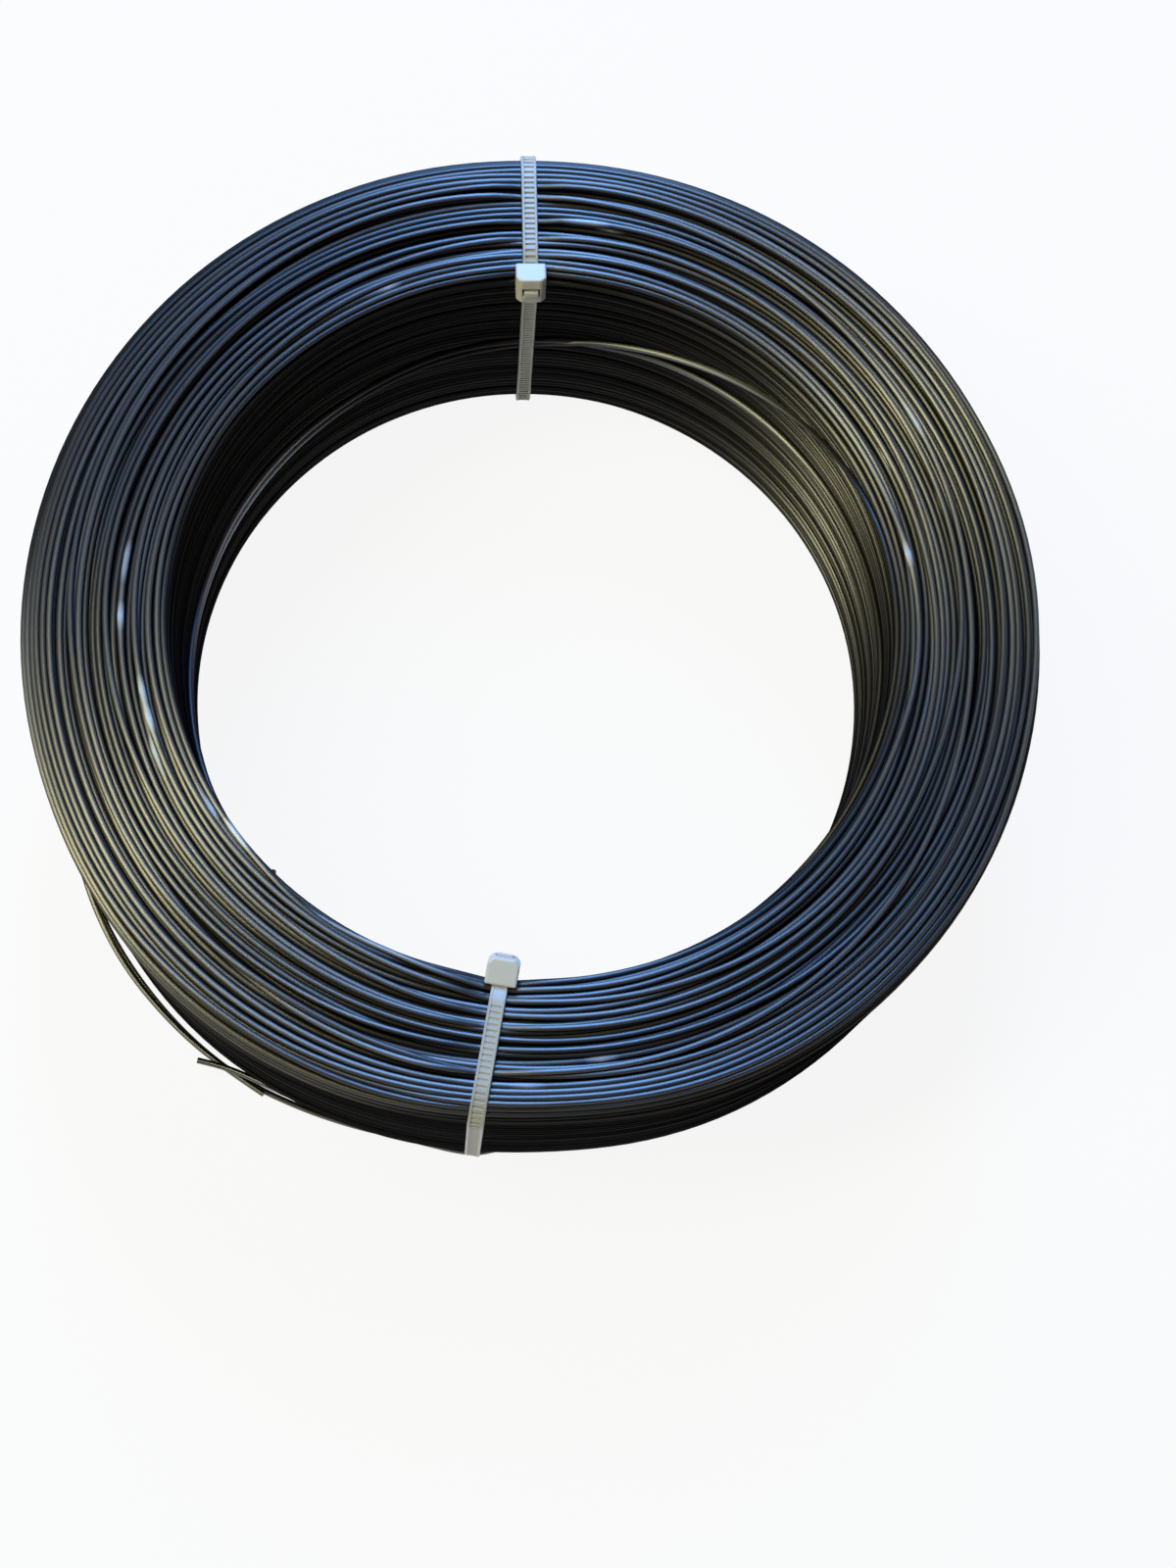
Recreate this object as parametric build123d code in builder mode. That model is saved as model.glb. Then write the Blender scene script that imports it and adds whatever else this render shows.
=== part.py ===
"""Coil of black aluminium tie wire, wound in layers and held by two nylon cable ties.

The coil lies flat on the floor. Its axis is +Z, the origin is on that axis at floor
level, and the straps under the coil are the lowest faces. The back tie lies on +Y.
"""

import os
from math import cos, pi, radians, sin, sqrt, tan

from build123d import *

# Wire and winding
wire_diameter = 1.0
layers = 26
turns_per_layer = 50
bore_diameter = 115.0
corner_radius = 5.0

# Cable ties, both of the same kind
strap_width = 2.5
strap_thickness = 1.0
strap_gap = 0.3
head_width = 4.7
head_length = 4.9
head_height = 2.3
head_edge = 0.4
head_slope = 0.85
head_sink = 1.1
slot_width = 2.9
slot_length = 1.7
slot_at = 0.3
tail_stub = 0.25
tail_gap = 0.1
pawl_length = 0.45
pawl_height = 1.1
pawl_root = 0.7

# Where each tie stands round the coil, in degrees
back_tie_angle = 90.0
back_tie_lean = 0.0
back_head_angle = 140.0
front_tie_angle = -96.4
front_tie_lean = -4.5
front_head_angle = 140.0

# Free stretches of wire: angle round the coil in degrees, distance of the wire's middle from
# the outer wall, and its height above the floor. Below the rounded edge of the coil a wire may
# lie nearer to the axis than the wall. The lower strand crosses the front tie's strap there.
lower_strand_route = (
    (-166.0, 0.65, 5.6),
    (-158.0, 1.0, 4.6),
    (-150.0, 1.7, 3.8),
    (-142.0, 2.4, 3.2),
    (-134.0, 2.6, 2.9),
    (-126.5, 2.15, 2.7),
    (-119.5, 0.95, 2.4),
    (-113.0, -0.1, 2.1),
    (-107.5, -0.9, 1.8),
    (-103.4, -0.75, 1.3),
    (-99.8, -0.4, 1.0),
    (-96.2, -0.4, 1.0),
    (-92.7, -1.2, 1.2),
    (-89.4, -1.8, 1.4),
)
upper_strand_route = (
    (-170.0, 0.65, 7.2),
    (-162.0, 1.6, 6.3),
    (-154.0, 2.7, 5.4),
    (-146.0, 3.2, 4.7),
    (-138.0, 2.95, 4.3),
    (-130.5, 2.6, 4.2),
    (-123.6, 2.1, 4.2),
)
outer_end_route = (
    (-131.9, 4.35, 5.9),
    (-129.8, 2.8, 5.8),
    (-127.7, 1.65, 5.9),
    (-125.4, 0.8, 6.2),
    (-122.9, 0.65, 6.7),
)
wire_sides = 6
inner_end_angle = -137.4
inner_end_height = 39.0
inner_end_length = 3.0
inner_end_lean = 0.6
bend_share = 0.45

os.makedirs("parts", exist_ok=True)

# Sizes that follow from the winding: layers nest in the grooves of the layer below
wire_radius = wire_diameter / 2
layer_pitch = wire_diameter * sqrt(3) / 2
bore_radius = bore_diameter / 2
ring_width = (layers - 1) * layer_pitch + wire_diameter
outer_radius = bore_radius + ring_width
coil_height = turns_per_layer * wire_diameter
coil_bottom = strap_thickness + strap_gap
coil_top = coil_bottom + coil_height


def end_drop(radius):
    """How far the turn at this radius lies below the flat of the end, at a rounded corner."""
    inset = min(radius - bore_radius, outer_radius - radius)
    if inset >= corner_radius:
        return 0
    return corner_radius - sqrt(corner_radius**2 - (corner_radius - inset) ** 2)


# Outline of one end, from the bore to the outer wall: each layer nests in the one before it,
# so the last turn of every second layer lies half a wire lower and leaves a groove. On the
# rounded corners, where the turns step down side by side, every second turn is drawn.
end_outline = []
for layer in range(layers):
    turn_radius = bore_radius + wire_radius + layer * layer_pitch
    from_rim = min(layer, layers - 1 - layer)
    if from_rim * layer_pitch + wire_radius < corner_radius:
        if from_rim % 2 == 0:
            end_outline.append((turn_radius, end_drop(turn_radius)))
    else:
        end_outline.append((turn_radius, (layer % 2) * wire_radius))

# The wound body: one turned solid with its bore, ridged by its turns on both ends
with BuildPart() as wire_coil:
    with BuildSketch(Plane.XZ):
        with BuildLine():
            Polyline(
                (bore_radius, coil_bottom + corner_radius),
                (bore_radius, coil_top - corner_radius),
                *[(radius, coil_top - drop) for radius, drop in end_outline],
                (outer_radius, coil_top - corner_radius),
                (outer_radius, coil_bottom + corner_radius),
                *[(radius, coil_bottom + drop) for radius, drop in reversed(end_outline)],
                close=True,
            )
        make_face()
    revolve(axis=Axis.Z)
wire_coil.part.label = "wire_coil"
export_step(wire_coil.part, "parts/wire_coil.step")


def on_circle(angle, radius, height):
    """A point at this angle round the coil's axis, at this radius and height."""
    return (radius * cos(radians(angle)), radius * sin(radians(angle)), height)


def tie_plane(angle, lean):
    """The upright plane of a tie, from the bore wall outwards. Its y runs up."""
    run = radians(angle + lean)
    return Plane(
        origin=on_circle(angle, bore_radius, 0),
        x_dir=(cos(run), sin(run), 0),
        z_dir=(sin(run), -cos(run), 0),
    )


def cable_tie(angle, lean, head_angle):
    """A tie closed round the section of the ring, with its head on the inner top corner."""
    upright = tie_plane(angle, lean)
    middle = (ring_width / 2, coil_bottom + coil_height / 2)
    inside_width = ring_width + 2 * strap_gap
    inside_height = coil_height + 2 * strap_gap
    inside_corner = corner_radius + strap_gap
    # The head's planes: x runs along the strap towards the bore, outwards is away from the wire
    turn = radians(head_angle)
    seat = inside_corner + strap_thickness
    seat_x = corner_radius + seat * cos(turn)
    seat_y = coil_top - corner_radius + seat * sin(turn)
    seat_point = upright.from_local_coords((seat_x, seat_y, 0))
    along = upright.x_dir * -sin(turn) + upright.y_dir * cos(turn)
    outwards = upright.x_dir * cos(turn) + upright.y_dir * sin(turn)
    side_plane = Plane(origin=seat_point, x_dir=along, z_dir=-upright.z_dir)
    end_plane = Plane(origin=seat_point, x_dir=upright.z_dir, z_dir=along)
    slot_plane = Plane(origin=seat_point, x_dir=along, z_dir=outwards)
    half_length = head_length / 2
    half_width = head_width / 2
    tail_at = slot_at + (slot_length - strap_thickness) / 2 - tail_gap
    pawl_at = slot_at - slot_length / 2
    with BuildPart() as head:
        with BuildSketch(side_plane):
            with BuildLine():
                FilletPolyline(
                    (-half_length, -head_sink),
                    (-half_length, head_height),
                    (half_length, head_height),
                    (half_length, -head_sink),
                    radius=[0, head_edge, head_edge, 0],
                    close=True,
                )
            make_face()
        extrude(amount=half_width, both=True)
        with BuildSketch(end_plane):
            with BuildLine():
                Polyline(
                    (-half_width, -head_sink),
                    (-half_width, head_height - head_slope),
                    (-half_width + head_slope, head_height),
                    (half_width - head_slope, head_height),
                    (half_width, head_height - head_slope),
                    (half_width, -head_sink),
                    close=True,
                )
            make_face()
        extrude(amount=head_length, both=True, mode=Mode.INTERSECT)
        with BuildSketch(slot_plane):
            with Locations((slot_at, 0)):
                Rectangle(slot_length, slot_width)
        extrude(amount=head_height + tail_stub, mode=Mode.SUBTRACT)
        with BuildSketch(side_plane):
            with BuildLine():
                Polyline(
                    (pawl_at, pawl_root),
                    (pawl_at + pawl_length, pawl_root),
                    (pawl_at, pawl_root + pawl_height),
                    close=True,
                )
            make_face()
        extrude(amount=slot_width / 2, both=True)
    with BuildPart() as tie:
        with BuildSketch(upright):
            with Locations(middle):
                RectangleRounded(
                    inside_width + 2 * strap_thickness,
                    inside_height + 2 * strap_thickness,
                    inside_corner + strap_thickness,
                )
                RectangleRounded(inside_width, inside_height, inside_corner, mode=Mode.SUBTRACT)
        extrude(amount=strap_width / 2, both=True)
        add(head.part)
        with BuildSketch(slot_plane.offset(-head_sink)):
            with Locations((tail_at, 0)):
                Rectangle(strap_thickness, strap_width)
        extrude(amount=head_sink + head_height + tail_stub)
    return tie.part


with BuildPart() as cable_tie_back:
    add(cable_tie(back_tie_angle, back_tie_lean, back_head_angle))
cable_tie_back.part.label = "cable_tie_back"
export_step(cable_tie_back.part, "parts/cable_tie_back.step")

with BuildPart() as cable_tie_front:
    add(cable_tie(front_tie_angle, front_tie_lean, front_head_angle))
cable_tie_front.part.label = "cable_tie_front"
export_step(cable_tie_front.part, "parts/cable_tie_front.step")


def free_wire(points, name):
    """A round wire along straight runs joined by tangent arcs."""
    runs = [(Vector(b) - Vector(a)).length for a, b in zip(points, points[1:])]
    radii = []
    for number in range(1, len(points) - 1):
        before = Vector(points[number]) - Vector(points[number - 1])
        after = Vector(points[number + 1]) - Vector(points[number])
        half_turn = radians(before.get_angle(after)) / 2
        shorter = min(runs[number - 1], runs[number])
        radii.append(bend_share * shorter / tan(half_turn))
    print(name, "bend radii", [round(radius, 1) for radius in radii])
    with BuildPart() as wire:
        with BuildLine() as route:
            FilletPolyline(*points, radius=radii)
        with BuildSketch(Plane(origin=route.line @ 0, z_dir=route.line % 0)):
            RegularPolygon(wire_radius, wire_sides)
        sweep(path=route.line)
    length = route.wire().length
    section = wire_sides * wire_radius**2 * sin(2 * pi / wire_sides) / 2
    volume_share = wire.part.volume / (section * length)
    print(name, "length", round(length, 2), "volume share", round(volume_share, 4))
    return wire.part


def outside_route(route):
    """The points of a route that is given by angle, distance from the outer wall and height."""
    return [on_circle(angle, outer_radius + reach, height) for angle, reach, height in route]


with BuildPart() as loose_strand_lower:
    add(free_wire(outside_route(lower_strand_route), "loose_strand_lower"))
loose_strand_lower.part.label = "loose_strand_lower"
export_step(loose_strand_lower.part, "parts/loose_strand_lower.step")

with BuildPart() as loose_strand_upper:
    add(free_wire(outside_route(upper_strand_route), "loose_strand_upper"))
loose_strand_upper.part.label = "loose_strand_upper"
export_step(loose_strand_upper.part, "parts/loose_strand_upper.step")

with BuildPart() as outer_wire_end:
    add(free_wire(outside_route(outer_end_route), "outer_wire_end"))
outer_wire_end.part.label = "outer_wire_end"
export_step(outer_wire_end.part, "parts/outer_wire_end.step")

# The inner end of the wire: a short cut stub that stands up against the bore wall
stub_radius = bore_radius - strap_gap - wire_radius
stub_run = radians(inner_end_angle + 90)
stub_plane = Plane(
    origin=on_circle(inner_end_angle, stub_radius, inner_end_height),
    x_dir=(sin(stub_run), -cos(stub_run), 0),
    z_dir=(inner_end_lean * cos(stub_run), inner_end_lean * sin(stub_run), inner_end_length),
)
with BuildPart() as inner_wire_end:
    with BuildSketch(stub_plane):
        Circle(wire_radius)
    extrude(amount=inner_end_length / 2, both=True)
inner_wire_end.part.label = "inner_wire_end"
export_step(inner_wire_end.part, "parts/inner_wire_end.step")
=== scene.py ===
import math

import bmesh
import bpy
import numpy as np
from mathutils import Matrix, Vector


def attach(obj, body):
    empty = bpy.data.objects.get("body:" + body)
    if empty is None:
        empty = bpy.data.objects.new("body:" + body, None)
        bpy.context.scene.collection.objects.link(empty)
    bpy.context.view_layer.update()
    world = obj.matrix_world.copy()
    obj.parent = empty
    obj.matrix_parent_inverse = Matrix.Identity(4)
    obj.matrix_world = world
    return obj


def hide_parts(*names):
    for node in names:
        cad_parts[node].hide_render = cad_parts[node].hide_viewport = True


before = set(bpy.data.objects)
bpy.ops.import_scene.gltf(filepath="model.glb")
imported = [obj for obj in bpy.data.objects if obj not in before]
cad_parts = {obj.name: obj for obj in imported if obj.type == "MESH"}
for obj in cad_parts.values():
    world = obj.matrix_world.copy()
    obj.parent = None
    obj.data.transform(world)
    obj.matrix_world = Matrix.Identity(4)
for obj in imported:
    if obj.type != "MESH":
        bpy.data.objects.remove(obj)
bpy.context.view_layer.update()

# Stage: the view looks steeply down from the front onto a white floor, which ends far off in a low
# white edge. Two cool windows stand above the back and a long warm one above the left, where the
# sheen on the turns says that the light came from. The room adds a little warm light all round.
lens = bpy.data.cameras.new("camera")
lens.sensor_fit = "VERTICAL"
lens.sensor_height = 36.0
lens.lens = 54.0
camera = bpy.data.objects.new("camera", lens)
bpy.context.collection.objects.link(camera)
camera_place = (-0.013978, -0.118099, 0.400155)
camera_right = Vector((0.99823, -0.02437, 0.05434))
camera_up = Vector((0.00995, 0.96785, 0.25133))
camera_back = Vector((-0.05872, -0.25034, 0.96638))
camera_turn = Matrix((camera_right, camera_up, camera_back)).transposed().to_4x4()
camera.matrix_world = Matrix.Translation(camera_place) @ camera_turn
bpy.context.scene.camera = camera
bpy.context.scene.view_settings.view_transform = "Standard"

world = bpy.data.worlds.new("room")
bpy.context.scene.world = world
world.use_nodes = True
world.node_tree.nodes["Background"].inputs["Color"].default_value = (1.0, 0.80, 0.66, 1)
world.node_tree.nodes["Background"].inputs["Strength"].default_value = 0.06

lit_point = Vector((0, 0, 0.04))
for name, place, across, pane, power, tint in (
    ("cool_window", (0.06, 0.72, 0.72), (1, 0, 0), (0.24, 0.80), 7.6, (0.20, 0.46, 0.98)),
    ("blue_sky", (-0.02, 0.80, 0.65), (1, 0, 0), (0.46, 0.80), 3.4, (0.15, 0.40, 0.98)),
    ("warm_window", (-0.52, 0.005, 0.86), (-0.486, 0.874, 0), (0.22, 1.00), 5.8, (1.0, 0.93, 0.51)),
):
    lamp = bpy.data.lights.new(name, "AREA")
    lamp.shape = "RECTANGLE"
    lamp.size, lamp.size_y = pane
    lamp.energy = power
    lamp.color = tint
    window = bpy.data.objects.new(name, lamp)
    bpy.context.collection.objects.link(window)
    away = (Vector(place) - lit_point).normalized()
    upward = away.cross(Vector(across)).normalized()
    sideways = upward.cross(away)
    window_turn = Matrix((sideways, upward, away)).transposed().to_4x4()
    window.matrix_world = Matrix.Translation(place) @ window_turn

mesh = bpy.data.meshes.new("floor")
bm = bmesh.new()
floor_radius = 6.0
floor_edge_height = 1.1
bmesh.ops.create_circle(bm, cap_ends=True, segments=96, radius=floor_radius)
floor_edge = [e for e in bm.edges if e.is_boundary]
raised = bmesh.ops.extrude_edge_only(bm, edges=floor_edge)["geom"]
raised = [v for v in raised if isinstance(v, bmesh.types.BMVert)]
bmesh.ops.translate(bm, vec=(0, 0, floor_edge_height), verts=raised)
bmesh.ops.recalc_face_normals(bm, faces=bm.faces)
above_floor = Vector((0, 0, 1))
turned_away = [f for f in bm.faces if f.normal.dot(above_floor - f.calc_center_median()) < 0]
bmesh.ops.reverse_faces(bm, faces=turned_away)
bm.to_mesh(mesh)
bm.free()
floor = bpy.data.objects.new("floor", mesh)
bpy.context.collection.objects.link(floor)
pale = bpy.data.materials.new("white_floor")
pale.use_nodes = True
nodes, links = pale.node_tree.nodes, pale.node_tree.links
bsdf = nodes["Principled BSDF"]
bsdf.inputs["Base Color"].default_value = (0.90, 0.90, 0.90, 1)
bsdf.inputs["Roughness"].default_value = 0.9
ray = nodes.new("ShaderNodeLightPath")
seen = nodes.new("ShaderNodeMath")
seen.operation = "MAXIMUM"
links.new(ray.outputs["Is Camera Ray"], seen.inputs[0])
links.new(ray.outputs["Is Glossy Ray"], seen.inputs[1])
through = nodes.new("ShaderNodeMath")
through.operation = "MAXIMUM"
links.new(seen.outputs[0], through.inputs[0])
links.new(ray.outputs["Is Transmission Ray"], through.inputs[1])
shown_white = nodes.new("ShaderNodeMath")
shown_white.operation = "MULTIPLY"
shown_white.inputs[1].default_value = 0.90
links.new(through.outputs[0], shown_white.inputs[0])
white = nodes.new("ShaderNodeEmission")
blend = nodes.new("ShaderNodeMixShader")
links.new(shown_white.outputs[0], blend.inputs["Fac"])
links.new(bsdf.outputs[0], blend.inputs[1])
links.new(white.outputs[0], blend.inputs[2])
links.new(blend.outputs[0], nodes["Material Output"].inputs["Surface"])
mesh.materials.append(pale)

# The wound wire: about 470 m of 1 mm aluminium with a satin black coating, in nested layers.
# Only its outer turns are made here. They lie side by side round the section, wander a little,
# sink between their neighbours or ride over them, and are drawn in where the two ties grip.
wire = 1.0  # in millimetres, as are all lengths from here on until a mesh is made in metres
bore, rim, foot, crown = 57.5, 80.1506, 1.3, 51.3
slices = 160
bend_steps = 60
straight_steps = 400
dice = np.random.default_rng(5)
angle = np.arange(slices) * 2 * np.pi / slices
degrees = (np.degrees(angle) + 180) % 360 - 180


def around(centre, reach):
    """One near an angle round the coil, falling to nothing further away."""
    apart = (degrees - centre + 180) % 360 - 180
    return np.exp(-(apart / reach) ** 2)


def shell(inset, corners, pitches):
    """Turns along the section's outline, moved in by inset: place, way along and way out."""
    in_top, out_top, out_foot, in_foot = corners
    runs = []
    for centre_r, centre_z, corner, start in (
        (bore + in_top, crown - in_top, in_top, 180),
        (rim - out_top, crown - out_top, out_top, 90),
        (rim - out_foot, foot + out_foot, out_foot, 0),
        (bore + in_foot, foot + in_foot, in_foot, -90),
    ):
        sweep = np.radians(np.linspace(start, start - 90, bend_steps))
        bend = corner - inset
        runs.append(np.c_[centre_r + bend * np.cos(sweep), centre_z + bend * np.sin(sweep)])
    line, gaps = [], []
    for k in range(4):
        line.append(runs[k])
        gaps.append(np.full(bend_steps, wire))
        a, b = runs[k][-1], runs[(k + 1) % 4][0]
        t = np.linspace(0, 1, straight_steps)[1:-1, None]
        line.append(a + (b - a) * t)
        gaps.append(np.full(len(t), pitches[k]))
    line, gaps = np.concatenate(line), np.concatenate(gaps)
    loop = np.concatenate([line, line[:1]])
    step = np.hypot(*np.diff(loop, axis=0).T)
    count = np.concatenate([[0], np.cumsum(step / gaps)])
    total = int(round(count[-1]))
    at = (np.arange(total) + 0.5) / total * count[-1]
    place = np.c_[np.interp(at, count, loop[:, 0]), np.interp(at, count, loop[:, 1])]
    ahead = np.c_[np.interp(at + 0.2, count, loop[:, 0]), np.interp(at + 0.2, count, loop[:, 1])]
    along = ahead - place
    along /= np.hypot(*along.T)[:, None]
    return place, along, np.c_[-along[:, 1], along[:, 0]]


def waver(count, size, slope=1.0, low=1, high=10):
    """Slow random waves round the coil, one row for each turn."""
    wave = np.zeros((count, slices))
    for beat in range(low, high):
        swing = dice.normal(size=(count, 2)) * beat ** -slope
        wave += swing[:, :1] * np.cos(beat * angle) + swing[:, 1:] * np.sin(beat * angle)
    return wave / wave.std(axis=1, keepdims=True) * size


# Corners from the inner top round to the inner foot, spacings on the top, outer wall, underside and eye
corners = (2.6, 4.2, 4.6, 4.6)
outer_spacing = (1.07, 1.02, 1.04, 1.20)
inner_spacing = (1.07, 1.04, 1.06, 1.18)
outer_place, outer_along, outer_out = shell(wire / 2, corners, outer_spacing)
inner_place, inner_along, inner_out = shell(wire * 1.25, corners, inner_spacing)
place = np.concatenate([outer_place, inner_place])
along = np.concatenate([outer_along, inner_along])
out = np.concatenate([outer_out, inner_out])
turns = len(place)
shown = np.arange(turns) < len(outer_place)
on_top = place[:, 1] > crown - 3.0
in_eye = (place[:, 0] < bore + 2.0) & ~on_top
slack = 1 - 0.9 * np.maximum(around(90, 7), around(-97, 7))
wander_along, wander_out = 0.40, 0.16
slide = waver(turns, wander_along) * np.where(on_top, 0.9, np.where(in_eye, 0.7, 0.5))[:, None]
lift = waver(turns, wander_out) * np.where(~shown, 0.3, np.where(on_top, 1.0, 0.5))[:, None] * slack
inland = (place[:, 0] > bore + 3.0) & (place[:, 0] < rim - 5.0)
rider_share, rider_sway, rider_lift = 0.35, 1.1, 0.75
riders = [i for i in np.flatnonzero(on_top & shown & inland) if dice.random() < rider_share]
for i in riders:
    slide[i] += waver(1, rider_sway, 1.3, 1, 4)[0]
    lift[i] += rider_lift * slack
target = place[:, None] + along[:, None] * slide[..., None] + out[:, None] * lift[..., None]

# Two turns of the eye climb across the others, from low at the left to the rim at the right
climb_angle = (-195, -170, -140, -100, -60, -20, 0, 15, 30, 45, 60, 75, 90, 105, 120, 135, 150, 165)
climb_first = (18.5, 20.5, 26, 34, 42, 48, 49, 48.6, 45.5, 40, 34.6, 30.3, 26.4, 24.2, 21.4, 19.6, 19.0, 18.5)
climb_second = (20.2, 22.0, 25, 28, 31, 33, 33.6, 33, 32, 30.9, 30, 29, 28.0, 26.3, 23.2, 22.1, 21.4, 20.2)
climb_stand_in = 0.35
climbers = []
for heights in (climb_first, climb_second):
    z = np.interp(degrees, climb_angle, heights, period=360)
    for again in range(6):
        z = (np.roll(z, 1) + np.roll(z, -1) + 2 * z) / 4
    climbers.append(np.c_[np.full(slices, bore - climb_stand_in), z])
target = np.concatenate([target, np.array(climbers)])
shown = np.concatenate([shown, [True, True]])
total = len(target)

# The turns settle: each is pulled to its own place, pushed off its neighbours and kept smooth
settle_rounds, rounds_per_look = 150, 15
spot = target.copy()
hold = np.where(shown, 0.04, 0.06)[:, None, None]
hold[-2:] = 0.5
for step in range(settle_rounds):
    if step % rounds_per_look == 0:
        near = np.full((total, total), 9.0)
        for s in range(0, slices, 4):
            d = spot[:, None, s] - spot[None, :, s]
            near = np.minimum(near, np.hypot(d[..., 0], d[..., 1]))
        one, two = np.nonzero(np.triu(near < 1.5 * wire, 1))
    spot += hold * (target - spot)
    for again in range(2):
        d = spot[one] - spot[two]
        far = np.linalg.norm(d, axis=2, keepdims=True) + 1e-6
        push = d / far * np.maximum(wire - far, 0) * 0.45
        move = np.zeros_like(spot)
        np.add.at(move, one, push)
        np.add.at(move, two, -push)
        spot += move * 0.7
    for again in range(2):
        spot += 0.2 * (np.roll(spot, 1, 1) + np.roll(spot, -1, 1) - 2 * spot)

# The ties draw the ring in: its outer wall most at the front, and its inner top edge under each head
front_dent, back_dent, front_bulge = 1.20, 0.35, 0.90
grip = front_dent * around(-89, 15) + back_dent * around(90, 14) - front_bulge * around(-134, 20)
outward = np.clip((spot[..., 0] - bore) / (rim - bore), 0, 1)
spot[..., 0] -= grip * outward ** 2
head_press, press_reach = 0.95, 6
from_edge = np.hypot(spot[..., 0] - bore, spot[..., 1] - crown)
under_heads = np.maximum(around(90, 4.5), around(-96.5, 4.5))
press = head_press * under_heads * np.clip(1 - from_edge / press_reach, 0, 1)
spot[..., 0] += press * 0.7
spot[..., 1] -= press * 0.7
under_straps = np.maximum(around(90, 3.2), around(-97.2, 3.6))
above_strap = spot[..., 1] - (crown - wire / 2 + 0.05)
spot[..., 1] -= np.maximum(above_strap, 0) * under_straps

# Black coating: a dark metal whose sheen is wide across the wire and narrow along it, as drawn wire has
coating = bpy.data.materials.new("black_wire")
coating.use_nodes = True
nodes, links = coating.node_tree.nodes, coating.node_tree.links
bsdf = nodes["Principled BSDF"]
bsdf.inputs["Metallic"].default_value = 1.0
bsdf.inputs["Specular Tint"].default_value = (0.08, 0.08, 0.08, 1)
bsdf.inputs["Anisotropic"].default_value = 0.80
bsdf.inputs["Anisotropic Rotation"].default_value = 0.25
# Worn spots: the attribute read here makes the coating rougher, which is real wear, and mixes in a pale
# blue-white, which is a painted glint
scuff_and_glint = nodes.new("ShaderNodeAttribute")
scuff_and_glint.attribute_name = "scuff_and_glint"
bare_and_glint_mix = nodes.new("ShaderNodeMix")
bare_and_glint_mix.data_type = "RGBA"
bare_and_glint_mix.inputs["B"].default_value = (0.70, 0.78, 0.92, 1)
links.new(scuff_and_glint.outputs["Fac"], bare_and_glint_mix.inputs["Factor"])
links.new(bare_and_glint_mix.outputs["Result"], bsdf.inputs["Base Color"])
# This mix runs from a pale grey painted sheen to the black of the coating, and feeds the glint mix above; the
# attribute read here is the share of painted shade at each point
painted_shade = nodes.new("ShaderNodeAttribute")
painted_shade.attribute_name = "painted_shade"
black = nodes.new("ShaderNodeMix")
black.data_type = "RGBA"
black.inputs["A"].default_value = (0.205, 0.205, 0.205, 1)
black.inputs["B"].default_value = (0.007, 0.007, 0.007, 1)
links.new(painted_shade.outputs["Fac"], black.inputs["Factor"])
links.new(black.outputs["Result"], bare_and_glint_mix.inputs["A"])
turn_tone = nodes.new("ShaderNodeAttribute")
turn_tone.attribute_name = "turn_tone"
gloss = nodes.new("ShaderNodeMapRange")
gloss.inputs["To Min"].default_value = 0.36
gloss.inputs["To Max"].default_value = 0.43
links.new(turn_tone.outputs["Fac"], gloss.inputs["Value"])
scratched = nodes.new("ShaderNodeMath")
scratched.operation = "MULTIPLY_ADD"
scratched.inputs[1].default_value = 0.30
links.new(scuff_and_glint.outputs["Fac"], scratched.inputs[0])
links.new(gloss.outputs["Result"], scratched.inputs[2])
links.new(scratched.outputs[0], bsdf.inputs["Roughness"])

# Painted sheen: the top, part of the outer wall and part of the eye are painted lighter where the lamps'
# sheen falls, and the rest of the coating is painted in shade. A glint is a worn spot
# whose pale colour is a painted highlight: angle round the coil, distance from its axis, half length in
# degrees
tone = dice.random(total)
each_tone = tone[:, None]
painted_sheen_wall = around(-143, 24) * np.clip((outward - 0.85) / 0.1, 0, 1)
painted_sheen_eye = around(22, 38) * (outward < 0.1)
sheen_depth = 2.4 + 30 * painted_sheen_wall
sheen_fade = 1.6 + 20 * painted_sheen_wall
painted_sheen = np.clip((spot[..., 1] - (crown - sheen_depth)) / sheen_fade, 0, 1) * (0.62 + 0.38 * each_tone)
least_painted_sheen = 0.10 + 0.22 * each_tone ** 2 + painted_sheen_eye * (0.05 + 0.65 * each_tone ** 2)
painted_sheen = np.maximum(painted_sheen, least_painted_sheen)
# The two climbing turns get extra painted sheen near 150 and 55 degrees round the coil, and a pale blue
# painted glint near 152 degrees
painted_sheen[-2:] = 0.30 + 0.55 * around(150, 26) + 0.55 * around(55, 28)
scuffs_and_glints = np.zeros((total, slices))
scuffs_and_glints[-2:] = 0.75 * around(152, 18) + 0.25 * around(60, 20)
glints = (
    (82, 68, 1.4), (79, 67.5, 1.0), (172, 64.5, 1.5), (174, 64, 1.0), (180, 63.5, 1.6), (-168, 61.5, 1.8),
    (-164, 62, 1.5), (-159, 63, 1.3), (9, 61, 1.5), (15, 68, 1.2), (25, 62.5, 1.3), (28, 69, 1.0),
    (-149, 59, 1.5), (-143, 58.5, 1.3), (-40, 65, 1.0), (-83, 70.5, 0.9), (-93, 73.5, 0.9), (113, 60, 1.4),
)
for at, radius, reach in glints:
    column = int(round(math.radians(at) / (2 * math.pi) * slices)) % slices
    lying_high = spot[:, column, 1] > crown - 1.1
    i = np.argmin(np.abs(spot[:, column, 0] - radius) + np.where(lying_high, 0, 50))
    scuffs_and_glints[i] = np.maximum(scuffs_and_glints[i], around(at, reach))

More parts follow.
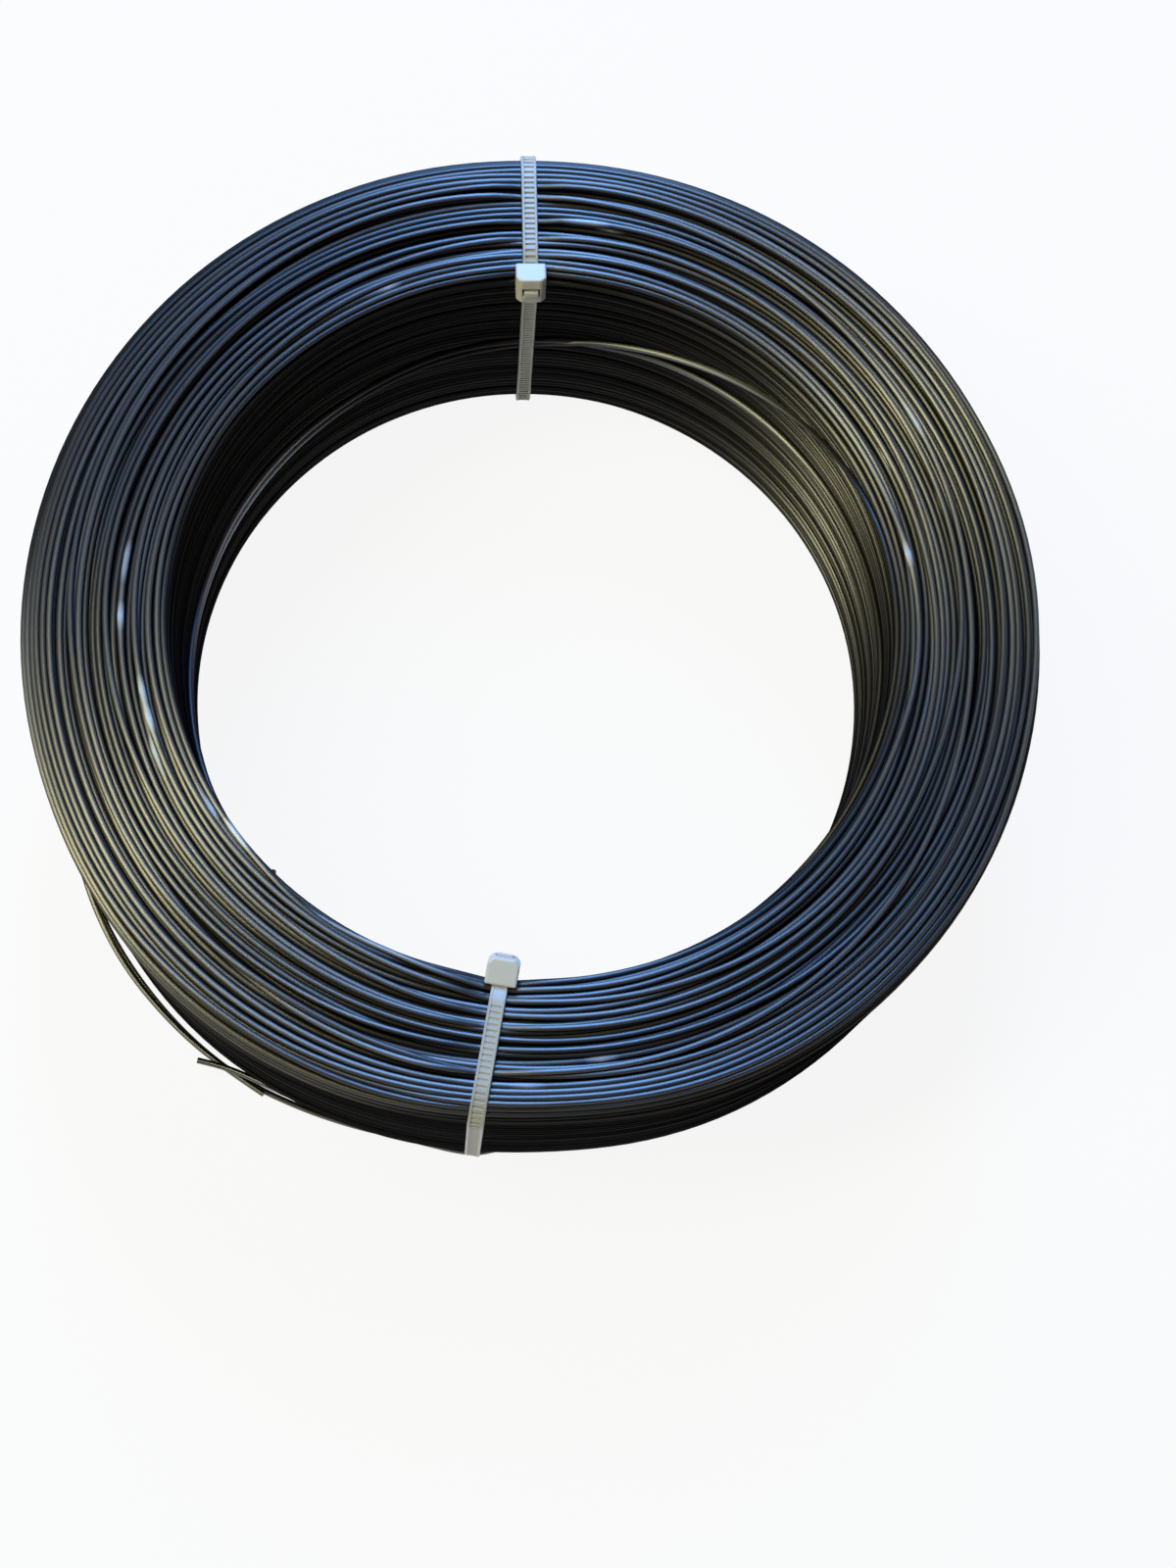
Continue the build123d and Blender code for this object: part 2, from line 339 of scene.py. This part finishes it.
# The turns are made as four pieces: top, underside, eye and outer wall
xyz = np.stack([spot[..., 0] * np.cos(angle), spot[..., 0] * np.sin(angle), spot[..., 1]], axis=2) * 0.001
section_middle = 69
top_side = place[:, 1] > crown - 3.2
under_side = place[:, 1] < foot + 7.4
eye_side = place[:, 0] < section_middle
region = np.where(top_side, 0, np.where(under_side, 1, np.where(eye_side, 2, 3)))
region = np.concatenate([region, [2, 2]])
for number, name in enumerate(("coil_top_turns", "coil_under_turns", "coil_eye_turns", "coil_outer_turns")):
    members = np.flatnonzero(region == number)
    curve = bpy.data.curves.new(name, "CURVE")
    curve.dimensions = "3D"
    curve.bevel_depth = wire / 2 * 0.001
    curve.bevel_resolution = 2
    for i in members:
        spline = curve.splines.new("POLY")
        spline.points.add(slices - 1)
        spline.points.foreach_set("co", np.c_[xyz[i], np.ones(slices)].ravel())
        spline.use_cyclic_u = True
        spline.use_smooth = True
    maker = bpy.data.objects.new(name, curve)
    mesh = bpy.data.meshes.new_from_object(maker)
    bpy.data.objects.remove(maker)
    piece = bpy.data.objects.new(name, mesh)
    bpy.context.collection.objects.link(piece)
    mesh.materials.clear()
    mesh.materials.append(coating)
    sides = len(mesh.vertices) // (len(members) * slices)
    facing = np.empty(len(mesh.vertices) * 3)
    mesh.vertices.foreach_get("normal", facing)
    # Painted sheen is strongest on the upward-facing side of each turn and falls off down its flanks, which
    # paints shade between the turns
    upward_sheen = 0.06 + 0.94 * np.clip((facing[2::3] + 0.05) / 0.75, 0, 1)
    for attribute, values in (
        ("turn_tone", np.repeat(tone[members], slices * sides)),
        ("scuff_and_glint", np.repeat(scuffs_and_glints[members].ravel(), sides)),
        ("painted_shade", 1 - np.repeat(painted_sheen[members].ravel(), sides) * upward_sheen),
    ):
        mesh.attributes.new(attribute, "FLOAT", "POINT").data.foreach_set("value", values)
    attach(piece, "root")
    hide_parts("wire_coil")

# Body of the winding: the layers of the same wire that the outer turns hide, one dark turned ring.
# It closes the gaps between the turns and is never seen by itself.
mesh = bpy.data.meshes.new("coil_core")
bm = bmesh.new()
core_inset, core_rim_inset = 2.3, 3.4
core_low = Vector(((bore + core_inset) / 1000, 0, (foot + core_inset) / 1000))
core_high = Vector(((rim - core_rim_inset) / 1000, 0, (crown - core_inset) / 1000))
bmesh.ops.create_grid(bm, x_segments=1, y_segments=1, size=0.5)
bmesh.ops.rotate(bm, verts=bm.verts, matrix=Matrix.Rotation(math.pi / 2, 3, "X"))
for vert in bm.verts:
    x = core_high.x if vert.co.x > 0 else core_low.x
    z = core_high.z if vert.co.z > 0 else core_low.z
    vert.co = (x, 0, z)
outline = list(bm.edges)
bmesh.ops.delete(bm, geom=list(bm.faces), context="FACES_ONLY")
bmesh.ops.spin(bm, geom=outline, cent=(0, 0, 0), axis=(0, 0, 1), angle=2 * math.pi, steps=96, use_merge=True)
bmesh.ops.remove_doubles(bm, verts=bm.verts, dist=1e-6)
bmesh.ops.recalc_face_normals(bm, faces=bm.faces)
bm.to_mesh(mesh)
bm.free()
# The core takes the full painted shade, the coating at its darkest, standing in for the shadow in the gaps
# between the turns
mesh.attributes.new("painted_shade", "FLOAT", "POINT").data.foreach_set("value", np.ones(len(mesh.vertices)))
mesh.materials.append(coating)
core = bpy.data.objects.new("coil_core", mesh)
bpy.context.collection.objects.link(core)
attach(core, "root")
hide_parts("wire_coil")

# Loose stretches of the outermost turn: the same wire, sprung away from the coil's lower edge.
# The lower one crosses the front strap, the upper one ends in a blunt cut, and the wire's
# outer end crosses both and sticks out.
lower_strand = (
    (-174.0, -0.3, 6.6), (-166.0, 0.9, 5.6), (-158.0, 1.9, 4.6), (-150.0, 2.5, 3.8), (-142.0, 2.6, 3.2),
    (-134.0, 2.6, 2.9), (-126.5, 2.15, 2.7), (-119.5, 0.95, 2.4), (-113.0, -0.1, 2.1), (-107.5, -0.95, 2.0),
    (-103.4, -1.0, 1.8), (-100.2, -0.75, 1.6), (-97.4, -0.75, 1.6), (-95.2, -1.6, 1.8), (-92.7, -2.6, 2.0),
)
upper_strand = (
    (-178.0, -0.3, 8.2), (-170.0, 0.65, 7.2), (-162.0, 1.6, 6.3), (-154.0, 2.7, 5.4), (-146.0, 3.2, 4.7),
    (-138.0, 2.95, 4.3), (-130.5, 2.6, 4.2), (-123.6, 2.1, 4.2),
)
outer_end = (
    (-115.0, -0.4, 7.8), (-119.0, 0.1, 7.3), (-122.9, 0.6, 6.7), (-125.4, 1.1, 6.2), (-127.7, 1.8, 5.9),
    (-129.8, 2.8, 5.8), (-131.9, 4.35, 5.9),
)
for name, node, route, length, far_end in (
    ("loose_strand_lower_wire", "loose_strand_lower", lower_strand, 0.1156, "object"),
    ("loose_strand_upper_wire", "loose_strand_upper", upper_strand, 0.0782, "bare"),
    ("outer_end_wire", "outer_wire_end", outer_end, None, None),
):
    points = []
    for at, reach, height in route:
        way = math.radians(at)
        radius = (rim + reach) / 1000
        points.append((radius * math.cos(way), radius * math.sin(way), height / 1000))
    curve = bpy.data.curves.new(name, "CURVE")
    curve.dimensions = "3D"
    curve.bevel_depth = wire / 2 * 0.001
    curve.bevel_resolution = 3
    curve.resolution_u = 8
    curve.use_fill_caps = True
    spline = curve.splines.new("NURBS")
    spline.points.add(len(points) - 1)
    for point, co in zip(spline.points, points):
        point.co = (*co, 1)
    spline.order_u = 3
    spline.use_endpoint_u = True
    curve.materials.append(coating)
    cord = bpy.data.objects.new(name, curve)
    bpy.context.collection.objects.link(cord)
    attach(cord, "root")
    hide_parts(node)

# Inner end of the wire: its first turn ends in a short stub, cut square, that stands up
# against the wall of the eye and is just seen over the rim. It is the same coated wire.
mesh = bpy.data.meshes.new("inner_end_stub")
bm = bmesh.new()
stub_length, stub_lean, stub_height, stub_gap = 3.0, 0.6, 39.0, 0.3
stub_radius = wire / 2000
bmesh.ops.create_cone(
    bm, cap_ends=True, segments=16, radius1=stub_radius, radius2=stub_radius, depth=stub_length / 1000,
)
cut_edges = [e for e in bm.edges if abs(e.verts[0].co.z - e.verts[1].co.z) < 1e-6]
bmesh.ops.bevel(bm, geom=cut_edges, offset=0.0001, offset_type="OFFSET", segments=2, profile=0.5,
                affect="EDGES", material=-1)
stub_way = math.radians(-137.4)
stub_out = Vector((math.cos(stub_way), math.sin(stub_way), 0))
stub_along = Vector((-math.sin(stub_way), math.cos(stub_way), 0))
stub_line = stub_along * stub_lean + Vector((0, 0, stub_length))
stub_place = stub_out * (bore - stub_gap - wire / 2) + Vector((0, 0, stub_height))
stub_turn = stub_line.to_track_quat("Z", "Y").to_matrix().to_4x4()
bmesh.ops.transform(bm, matrix=Matrix.Translation(stub_place / 1000) @ stub_turn, verts=bm.verts)
for face in bm.faces:
    face.smooth = len(face.verts) == 4
bm.to_mesh(mesh)
bm.free()
mesh.materials.append(coating)
stub = bpy.data.objects.new("inner_end_stub", mesh)
bpy.context.collection.objects.link(stub)
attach(stub, "root")
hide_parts("inner_wire_end")

# Cable ties: two of the same kind, moulded in natural nylon and drawn tight round the ring.
# A ladder of teeth runs between two rails along the outside of the strap. The head sits on the
# inner top edge, its slot takes the strap's tail, and the tail is cut off close to it.
strap_width, strap_thick, strap_gap = 2.5, 1.0, 0.3
tooth_pitch = 0.92
head_length, head_width, head_rise, head_sink = 4.9, 4.9, 3.2, 1.0
slot_length, slot_width, slot_at = 1.7, 2.9, 0.3
tail_thick, tail_width, tail_end, tail_shift = 0.95, 2.3, 0.25, 0.28
head_angle, head_tilt = 140, 160
shoulder_cut, head_edge, tail_edge = 0.80, 0.32, 0.10
strap_milk, head_milk = 0.52, 0.92
corner = 5.0
bend_points = 40

nylon = bpy.data.materials.new("natural_nylon")
nylon.use_nodes = True
nodes, links = nylon.node_tree.nodes, nylon.node_tree.links
bsdf = nodes["Principled BSDF"]
bsdf.inputs["Roughness"].default_value = 0.34
bsdf.inputs["Subsurface Weight"].default_value = 0.25
bsdf.inputs["Subsurface Radius"].default_value = (0.0012, 0.0011, 0.0010)
bsdf.inputs["Subsurface Scale"].default_value = 1.0
thickness_and_groove_shade = nodes.new("ShaderNodeAttribute")
thickness_and_groove_shade.attribute_name = "thickness_and_groove_shade"
milk = nodes.new("ShaderNodeMix")
milk.data_type = "RGBA"
milk.inputs["A"].default_value = (0.20, 0.21, 0.21, 1)
milk.inputs["B"].default_value = (0.88, 0.90, 0.90, 1)
links.new(thickness_and_groove_shade.outputs["Fac"], milk.inputs["Factor"])
links.new(milk.outputs["Result"], bsdf.inputs["Base Color"])

# Each tie's angle, lean, how far it is drawn in, sideways bow, plain run, depth of its teeth and strength of
# the painted shade in the grooves between them
for side, at, lean, drawn_in, sway, plain_run, tooth_drop, painted_groove_shade in (
    ("back", 90.0, 0.0, 0.30, 0.0, 0.0, 0.34, 0.25),
    ("front", -96.4, -4.5, 1.00, -1.2, 4.6, 0.16, 0.08),
):
    run = math.radians(at + lean)
    ahead = Vector((math.cos(run), math.sin(run), 0))
    across = Vector((math.sin(run), -math.cos(run), 0))
    upward = Vector((0, 0, 1))
    base = Vector((bore * math.cos(math.radians(at)), bore * math.sin(math.radians(at)), 0))

    # The strap's inner line round the section, from the head over the top and back up the eye
    bend = corner + strap_gap
    eye_x, outer_x = bend - strap_gap, rim - bore + strap_gap - drawn_in - bend
    foot_y, top_y = foot - strap_gap + bend, crown + strap_gap - bend
    line = []
    for x, y, start, stop in (
        (eye_x, top_y, head_angle, 90), (outer_x, top_y, 90, 0), (outer_x, foot_y, 0, -90),
        (eye_x, foot_y, -90, -180), (eye_x, top_y, 180, head_angle),
    ):
        for a in np.radians(np.linspace(start, stop, bend_points)):
            line.append((x + bend * math.cos(a), y + bend * math.sin(a), math.cos(a), math.sin(a)))
    line = np.array(line)
    gone = np.concatenate([[0], np.cumsum(np.hypot(*np.diff(line[:, :2], axis=0).T))])
    teeth = int(round(gone[-1] / tooth_pitch))
    pitch = gone[-1] / teeth
    bars = ((0.0, 0.0), (0.30, 0.0), (0.42, 1.0), (0.94, 1.0))
    half = strap_width / 2
    profile = (
        (-half, 0.22, 0), (-half, 0.80, 0), (-1.12, 1.0, 0), (-0.84, 1.0, 0), (-0.78, 0.92, 1),
        (0.78, 0.92, 1), (0.84, 1.0, 0), (1.12, 1.0, 0), (half, 0.80, 0), (half, 0.22, 0),
        (1.10, 0.0, 0), (-1.10, 0.0, 0), (-half, 0.22, 0),
    )
    # The bow begins past the outer top bend, is widest at the foot and ends at the foot of the eye
    bow_at = gone[[79, 80, 120, 160, 161]]
    bow = (0, 0.15, 1.0, 0.0, 0)
    steps, ring = teeth * len(bars), len(profile) - 1
    mesh = bpy.data.meshes.new("tie_strap_" + side)
    bm = bmesh.new()
    bmesh.ops.create_grid(bm, x_segments=steps, y_segments=ring, size=1.0)
    thickness_and_shade_layer = bm.verts.layers.float.new("thickness_and_groove_shade")
    for vert in bm.verts:
        i, j = round((vert.co.x + 1) / 2 * steps), round((vert.co.y + 1) / 2 * ring)
        share, proud = bars[i % len(bars)]
        s = (i // len(bars) + share) * pitch if i < steps else gone[-1]
        proud = 1.0 if s < plain_run else proud
        w, h, toothed = profile[j]
        h = h - toothed * tooth_drop * (1 - proud)
        # The teeth's tops are painted lighter and the grooves between them darker, as painted shade; the rest
        # of the strap is milky by its thickness
        vert[thickness_and_shade_layer] = strap_milk + painted_groove_shade * (proud - 0.5) if toothed else strap_milk
        x, y, nx, ny = (np.interp(s, gone, line[:, k]) for k in range(4))
        drift = sway * np.interp(s, bow_at, bow)
        vert.co = (base + ahead * (x + nx * h) + upward * (y + ny * h) - across * (w + drift)) * 0.001
    bmesh.ops.remove_doubles(bm, verts=bm.verts, dist=2e-6)
    bmesh.ops.recalc_face_normals(bm, faces=bm.faces)
    bm.to_mesh(mesh)
    bm.free()
    mesh.materials.append(nylon)
    strap = bpy.data.objects.new("tie_strap_" + side, mesh)
    bpy.context.collection.objects.link(strap)

    # The head: a moulded block with sloped sides and soft edges, open through its slot
    turn = math.radians(head_angle)
    seat_reach = bend + strap_thick
    seat = base + ahead * (corner + seat_reach * math.cos(turn))
    seat += upward * (crown - corner + seat_reach * math.sin(turn))
    tilt = math.radians(head_tilt)
    onward = ahead * -math.sin(tilt) + upward * math.cos(tilt)
    outward_way = ahead * math.cos(tilt) + upward * math.sin(tilt)
    mesh = bpy.data.meshes.new("tie_head_" + side)
    bm = bmesh.new()
    bmesh.ops.create_cube(bm, size=1.0)
    bmesh.ops.scale(bm, vec=(head_length, head_width, head_rise + head_sink), verts=bm.verts)
    bmesh.ops.translate(bm, vec=(0, 0, (head_rise - head_sink) / 2), verts=bm.verts)
    upper_edges = [e for e in bm.edges if all(v.co.z > 0 for v in e.verts)]
    shoulders = [e for e in upper_edges if e.verts[0].co.y == e.verts[1].co.y]
    bmesh.ops.bevel(bm, geom=shoulders, offset=shoulder_cut, offset_type="OFFSET", segments=1, profile=0.5,
                    affect="EDGES", material=-1)
    bmesh.ops.bevel(bm, geom=list(bm.edges), offset=head_edge, offset_type="OFFSET", segments=3, profile=0.5,
                    affect="EDGES", material=-1)
    for cut_at, cut_way in (
        ((slot_at - slot_length / 2, 0, 0), (1, 0, 0)), ((slot_at + slot_length / 2, 0, 0), (1, 0, 0)),
        ((0, -slot_width / 2, 0), (0, 1, 0)), ((0, slot_width / 2, 0), (0, 1, 0)),
    ):
        whole = bm.verts[:] + bm.edges[:] + bm.faces[:]
        bmesh.ops.bisect_plane(bm, geom=whole, plane_co=cut_at, plane_no=cut_way)
    mouth = []
    for face in bm.faces:
        middle = face.calc_center_median()
        in_slot = abs(middle.x - slot_at) < slot_length / 2 and abs(middle.y) < slot_width / 2
        if face.normal.z > 0.9 and in_slot:
            mouth.append(face)
    sunk = bmesh.ops.extrude_face_region(bm, geom=mouth)
    bmesh.ops.delete(bm, geom=mouth, context="FACES")
    slot_floor = [v for v in sunk["geom"] if isinstance(v, bmesh.types.BMVert)]
    bmesh.ops.translate(bm, vec=(0, 0, -head_rise), verts=slot_floor)
    tail = bmesh.ops.create_cube(bm, size=1.0)["verts"]
    bmesh.ops.scale(bm, vec=(tail_thick, tail_width, head_rise + tail_end), verts=tail)
    bmesh.ops.translate(bm, vec=(slot_at + tail_shift, 0, (head_rise + tail_end) / 2), verts=tail)
    rims = {e for v in tail for e in v.link_edges}
    bmesh.ops.bevel(bm, geom=list(rims), offset=tail_edge, offset_type="OFFSET", segments=2, profile=0.5,
                    affect="EDGES", material=-1)
    thickness_and_shade_layer = bm.verts.layers.float.new("thickness_and_groove_shade")
    for vert in bm.verts:
        vert[thickness_and_shade_layer] = head_milk
        x, y, z = vert.co
        vert.co = (seat + onward * x + across * y + outward_way * z) * 0.001
    bmesh.ops.recalc_face_normals(bm, faces=bm.faces)
    bm.to_mesh(mesh)
    bm.free()
    mesh.materials.append(nylon)
    head = bpy.data.objects.new("tie_head_" + side, mesh)
    bpy.context.collection.objects.link(head)
    for piece in (strap, head):
        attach(piece, "root")
        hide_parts("cable_tie_" + side)
